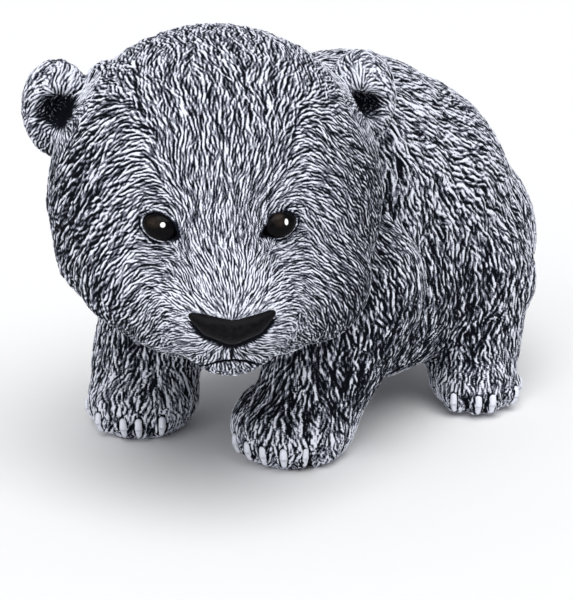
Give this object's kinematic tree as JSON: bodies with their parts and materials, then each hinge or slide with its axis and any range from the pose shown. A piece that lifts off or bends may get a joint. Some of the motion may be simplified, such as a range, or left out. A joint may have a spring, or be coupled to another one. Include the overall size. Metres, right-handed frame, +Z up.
{
  "type": "bear statue",
  "caption": "Walking polar bear cub for the garden: a fur-carved cast stone figure with its big head turned to one side, painted eyes and nose, and pale claws.",
  "frame": {"origin": "on the ground under the middle of the bear's box, at the level of its four soles", "axes": "the body runs along Y with its chest towards -Y and its rump towards +Y; the bear's left is +X; +Z up"},
  "size_m": [0.1986, 0.331, 0.22],
  "materials": {
    "cast_stone": "matt cast stone, charcoal stain in the grooves and white brushed over the ridges; gloss black eyes and nose"
  },
  "bodies": {
    "root": {"bear": "cast_stone"}
  },
  "joints": []
}
